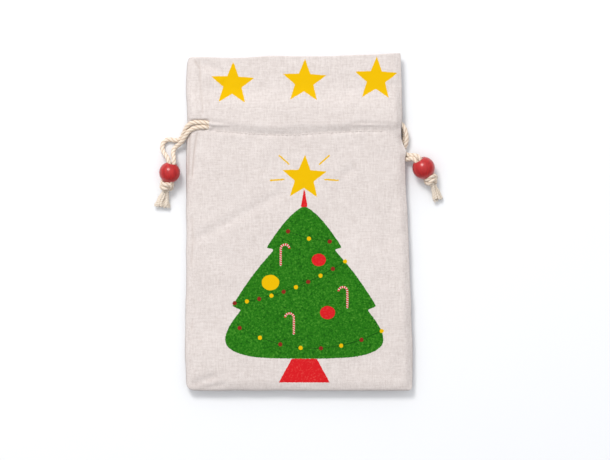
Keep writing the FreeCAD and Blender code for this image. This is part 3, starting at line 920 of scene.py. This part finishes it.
def to_segment(x, y, start, end):
    """Distance to a straight run."""
    run_x, run_y = end[0] - start[0], end[1] - start[1]
    share = ((x - start[0]) * run_x + (y - start[1]) * run_y) / (run_x ** 2 + run_y ** 2)
    share = np.clip(share, 0.0, 1.0)
    return np.hypot(x - start[0] - share * run_x, y - start[1] - share * run_y)


def to_polygon(x, y, corners):
    """Distance to an outline, negative inside it."""
    distance = np.full(x.shape, 1e3)
    inside = np.zeros(x.shape, bool)
    for start, end in zip(corners, corners[1:] + corners[:1]):
        distance = np.minimum(distance, to_segment(x, y, start, end))
        if start[1] != end[1]:
            crossing = start[0] + (y - start[1]) / (end[1] - start[1]) * (end[0] - start[0])
            inside ^= ((start[1] > y) != (end[1] > y)) & (x < crossing)
    return np.where(inside, -distance, distance)


def softened(corners, gentle=60.0, nick=0.8):
    """Outline with its gentle corners rounded widely and its sharp ones by a nick."""
    result = []
    count = len(corners)
    for index, corner in enumerate(corners):
        before = Vector(corners[index - 1]) - Vector(corner)
        after = Vector(corners[(index + 1) % count]) - Vector(corner)
        bend = 180.0 - math.degrees(before.angle(after))
        for side in (before, after):
            cut = side.length * 0.27 if bend < gentle else min(nick, side.length * 0.3)
            place = Vector(corner) + side.normalized() * cut
            result.append((place.x, place.y))
    return result


def to_disc(x, y, centre_x, centre_y, radius, flatness=1.0):
    """Distance to a disc, or roughly that to an oval."""
    return np.hypot(x - centre_x, (y - centre_y) / flatness) - radius


def star_outline(centre_x, centre_y, tilt, size):
    """Regular five-pointed star."""
    corners = []
    for step in range(10):
        angle = math.radians(90.0 + tilt + 36.0 * step)
        reach = size * (STAR_WAIST if step % 2 else STAR_RADIUS)
        corners.append((centre_x + reach * math.cos(angle), centre_y + reach * math.sin(angle)))
    return corners


def mirrored(side):
    """Outline that is the same on both sides of the print's centre line."""
    right = [(PRINT_CENTRE + step, height) for step, height in side]
    left = [(PRINT_CENTRE - step, height) for step, height in reversed(side)]
    return right + left


def garland_points(start, end, sag, count):
    """Lamps along a garland that hangs in a shallow arc."""
    share = np.linspace(0.0, 1.0, count)
    across = start[0] + (end[0] - start[0]) * share
    height = start[1] + (end[1] - start[1]) * share - 4.0 * sag * share * (1.0 - share)
    return list(zip(across.tolist(), height.tolist()))


def print_marks(x, y):
    """Signed distance to each ink's area, in millimetres."""
    far = np.full(x.shape, 1e3)
    marks = {key: far for key in ("green", "garland", "red", "maroon", "yellow", "cane")}

    def stamp(key, distance):
        marks[key] = np.minimum(marks[key], distance)

    stamp("green", to_polygon(x, y, softened(softened(mirrored(TREE_SIDE)))))
    for side in (TRUNK_SIDE, TIP_SIDE):
        stamp("red", to_polygon(x, y, mirrored(side)))
    for spec in (TREE_STAR, *HEADER_STARS):
        stamp("yellow", to_polygon(x, y, star_outline(*spec)))
    for turn in RAY_ANGLES:
        cosine, sine = math.cos(math.radians(turn)), math.sin(math.radians(turn))
        ray = [(TREE_STAR[0] + reach * cosine, TREE_STAR[1] + reach * sine)
               for reach in (RAY_START, RAY_END)]
        stamp("yellow", to_segment(x, y, *ray) - RAY_HALF_WIDTH)
    for centre_x, centre_y, radius, ink in BAUBLES:
        stamp(ink, to_disc(x, y, centre_x, centre_y, radius, BAUBLE_FLATNESS))
        hook = (centre_x + 0.4, centre_y + radius + 3.4)
        stamp("garland", to_segment(x, y, (centre_x, centre_y), hook) - HOOK_HALF_WIDTH)
    for spec in GARLANDS:
        lamps = garland_points(*spec)
        for start, end in zip(lamps, lamps[1:]):
            stamp("garland", to_segment(x, y, start, end) - STRING_HALF_WIDTH)
        for number, place in enumerate(lamps):
            stamp("yellow" if number % 2 else "maroon", to_disc(x, y, *place, LAMP_RADIUS))
    along = np.zeros(x.shape)
    for shaft, low, high, side in CANES:
        hook_x = shaft + side * CANE_HOOK
        shaft_gap = to_segment(x, y, (shaft, low), (shaft, high))
        bend = np.arctan2(y - high, (hook_x - x) * side)
        hook_gap = np.abs(np.hypot(x - hook_x, y - high) - CANE_HOOK)
        over = y > high
        gap = np.where(over, hook_gap, shaft_gap) - CANE_HALF_WIDTH
        reach = np.where(over, high - low + CANE_HOOK * bend, y - low)
        slant = np.where(over, 0.0, 0.5 * (x - shaft))
        along = np.where(gap < marks["cane"], reach + slant, along)
        stamp("cane", gap)
    marks = {"print_" + key: np.clip(value, -MARK_LIMIT, MARK_LIMIT) for key, value in marks.items()}
    marks["print_along"] = along
    # Painted shade along the folds, for the printed cloth's colour.
    marks["fold"] = fold_groove_and_shade(x, y, 0.6)
    return marks


# ---- sack

GRID = 0.75
LEAST_GAP = 0.3

grid_x, grid_y = outline_grid(GRID)
front_z = front_height(grid_x, grid_y)
# The left strands lie in the front's cloth, which covers them and the right strands further in.
for part in ("upper", "lower"):
    line = lines["left", part]
    on_cloth = line[(line[:, 0] < -62.4) & (line[:, 0] > -82.0)]
    front_z = under_cord(front_z, grid_x, grid_y, on_cloth)
for part in ("upper", "lower"):
    line = lines["right", part]
    inside = line[(line[:, 0] < 75.0) & (line[:, 1] > 61.0)]
    front_z = over_cord(front_z, grid_x, grid_y, inside)
loop = lines["left", "loop"]
front_lane = loop[(loop[:, 2] > 8.0) & (loop[:, 0] > -58.5)]
for line in (lines["left", "upper"], lines["left", "lower"], front_lane):
    front_z = over_cord(front_z, grid_x, grid_y, line[line[:, 0] > -61.0], CLOTH_COVER)
back_z = back_height(grid_x, grid_y)
for part in ("upper", "lower"):
    line = lines["right", part]
    behind = line[(line[:, 1] < 55.0) & (line[:, 0] < 75.0)]
    back_z = over_cord(back_z, grid_x, grid_y, behind)
front_z = np.maximum(front_z, back_z + LEAST_GAP)
final_x, final_y = round_corners(grid_x, grid_y)
front_points = rolled_lip(np.stack([final_x, final_y, front_z], axis=-1), 1.0)
back_points = rolled_lip(np.stack([final_x, final_y, back_z], axis=-1), -1.0)


EXIT_X = (-62.3, -61.3)
EXIT_Y = (65.2, 70.4)


def casing_exit(x, y):
    """Opening at the casing's left end, where both strands come out."""
    return (x > EXIT_X[0]) & (x < EXIT_X[1]) & (y > EXIT_Y[0]) & (y < EXIT_Y[1])


front_cloth = sheet_piece("front_cloth", "front_panel", front_points, hole=casing_exit, marks=print_marks)
back_cloth = sheet_piece("back_cloth", "back_panel", back_points, flip=True)

HEM_LEFT, HEM_RIGHT = -58.2, 52.7
HEM_GRID = 1.2
HEM_ROWS = 48
HEM_GAP = 0.62


def hem_points(height):
    """Grid of a hem, from the mouth's fold down to the lower row of stitches."""
    columns = int((HEM_RIGHT - HEM_LEFT) / HEM_GRID)
    x, along = np.meshgrid(np.linspace(HEM_LEFT, HEM_RIGHT, columns), np.linspace(0.0, 1.0, HEM_ROWS))
    low = valley_line(x) - 0.4
    y = low + along * (top_edge(x) + 0.1 - low)
    return np.stack([x, y, height(x, y)], axis=-1)


def front_hem_height(x, y):
    """Close under the front, and below the cords in the casing."""
    return np.minimum(front_height(x, y) - HEM_GAP, 6.9 + 3.0 * (1.0 - casing_weight(x, y)))


def back_hem_height(x, y):
    """Close over the back, and above the cords in the casing."""
    return back_height(x, y) + HEM_GAP + 3.0 * casing_weight(x, y)


front_hem = sheet_piece("front_hem_cloth", "front_casing_hem", hem_points(front_hem_height))
back_hem = sheet_piece("back_hem_cloth", "back_casing_hem", hem_points(back_hem_height), flip=True)


SEAM_STEPS = 90
SEAM_WIDTH = 5.6
SEAM_INSET = 0.9


def seam_piece(name, node, start, end, inward, seed):
    """Seam allowance inside an edge: its two plies as one sheet, with a frayed free edge."""
    line = np.linspace(start, end, SEAM_STEPS)
    if inward[1] == 0:
        edge_x = left_edge(line[:, 1]) if inward[0] > 0 else right_edge(line[:, 1])
        edge_y = line[:, 1]
    else:
        edge_x = line[:, 0]
        edge_y = bottom_edge(line[:, 0])
    width = SEAM_WIDTH + 0.5 * soft_noise(edge_x + edge_y, 0 * edge_x, 3.0, seed)
    rows = []
    for share in np.linspace(0.0, 1.0, 7):
        x = edge_x + inward[0] * (SEAM_INSET + share * width)
        y = edge_y + inward[1] * (SEAM_INSET + share * width)
        middle = (front_height(x, y) + back_height(x, y)) / 2.0
        base = seam_height(edge_x, edge_y)
        rows.append(np.stack([x, y, base + (middle - base) * share * 0.6 + 0.2], axis=-1))
    return sheet_piece(name, node, np.array(rows))


seams = [
    seam_piece("left_side_allowance", "left_side_seam", (0, -105.5), (0, 58.0), (1, 0), 71),
    seam_piece("right_side_allowance", "right_side_seam", (0, -105.5), (0, 58.0), (-1, 0), 72),
    seam_piece("left_header_allowance", "left_header_seam", (0, 80.0), (0, 112.5), (1, 0), 73),
    seam_piece("right_header_allowance", "right_header_seam", (0, 80.0), (0, 112.5), (-1, 0), 74),
    seam_piece("bottom_allowance", "bottom_seam", (-70.0, 0), (70.0, 0), (0, 1), 75),
]

STITCH_PITCH = 2.8
STITCH_LENGTH = 2.1
STITCH_RADIUS = 0.24


def stitch_row(name, node, line_y, height, side, stand=0.16):
    """Row of separate stitches that dip into the cloth at both ends."""
    stitches = []
    for start in np.arange(-57.0, 56.0, STITCH_PITCH):
        share = np.linspace(0.0, 1.0, 9)
        x = start + STITCH_LENGTH * share
        y = line_y(x) + 0.12 * np.sin(start * 1.7)
        z = height(x, y) + side * (stand - 0.42 * (2.0 * share - 1.0) ** 4)
        stitches.append(tube(np.stack([x, y, z], axis=-1), STITCH_RADIUS, sides=8, step=0.25, ends=0.5))
    return stand_in(joined_tubes(name, stitches, THREAD), "sack", node)


def upper_row(x):
    """Line of the casing's upper stitches."""
    return UPPER_STITCH + 0.0 * x


front_stitches = [
    stitch_row("front_lower_stitches", "front_lower_stitching", valley_line, front_height, 1.0),
    stitch_row("front_upper_stitches", "front_upper_stitching", upper_row, front_height, 1.0, -0.06),
]
back_stitches = [
    stitch_row("back_lower_stitches", "back_lower_stitching", valley_line, back_height, -0.6),
    stitch_row("back_upper_stitches", "back_upper_stitching", upper_row, back_height, -0.6),
]


# ---- floor and light

FLOOR_HALF = 3.0
floor_corners = [(-FLOOR_HALF, -FLOOR_HALF, 0), (FLOOR_HALF, -FLOOR_HALF, 0),
                 (FLOOR_HALF, FLOOR_HALF, 0), (-FLOOR_HALF, FLOOR_HALF, 0)]
floor_mesh = bpy.data.meshes.new("floor")
floor_mesh.from_pydata(floor_corners, [], [(0, 1, 2, 3)])
floor = add_object("floor", floor_mesh, floor_material())
floor.location.z = -0.0002

# The sky is brighter overhead and beyond the mouth.
SKY_SIDE = (-0.12, 0.50, 0.86)
SKY_DIM = 0.42
SKY_BRIGHT = 1.16
SKY_COLOUR = (0.97, 0.985, 1.0, 1.0)
world = bpy.data.worlds.new("soft white")
world.use_nodes = True
sky = world.node_tree
sky_side = sky.nodes.new("ShaderNodeVectorMath")
sky_side.operation = "DOT_PRODUCT"
sky_side.inputs[1].default_value = SKY_SIDE
sky.links.new(sky.nodes.new("ShaderNodeTexCoord").outputs["Generated"], sky_side.inputs[0])
sky_level = sky.nodes.new("ShaderNodeMapRange")
sky_level.inputs["To Min"].default_value = SKY_DIM
sky_level.inputs["To Max"].default_value = SKY_BRIGHT
sky.links.new(sky_side.outputs["Value"], sky_level.inputs["Value"])
sky.links.new(sky_level.outputs["Result"], sky.nodes["Background"].inputs["Strength"])
sky.nodes["Background"].inputs["Color"].default_value = SKY_COLOUR
SCENE.world = world

# Square light that faces the sack, in metres and watts.
KEY_PLACE = (-0.42, 1.00, 1.36)
key_light = bpy.data.lights.new("key", "AREA")
key_light.size = 0.5
key_light.energy = 17.0
key_light.color = (1.0, 0.985, 0.96)
key = bpy.data.objects.new("key", key_light)
key.location = KEY_PLACE
key.rotation_euler = (-Vector(KEY_PLACE)).to_track_quat("-Z", "Y").to_euler()
key.visible_camera = False
SCENE.collection.objects.link(key)
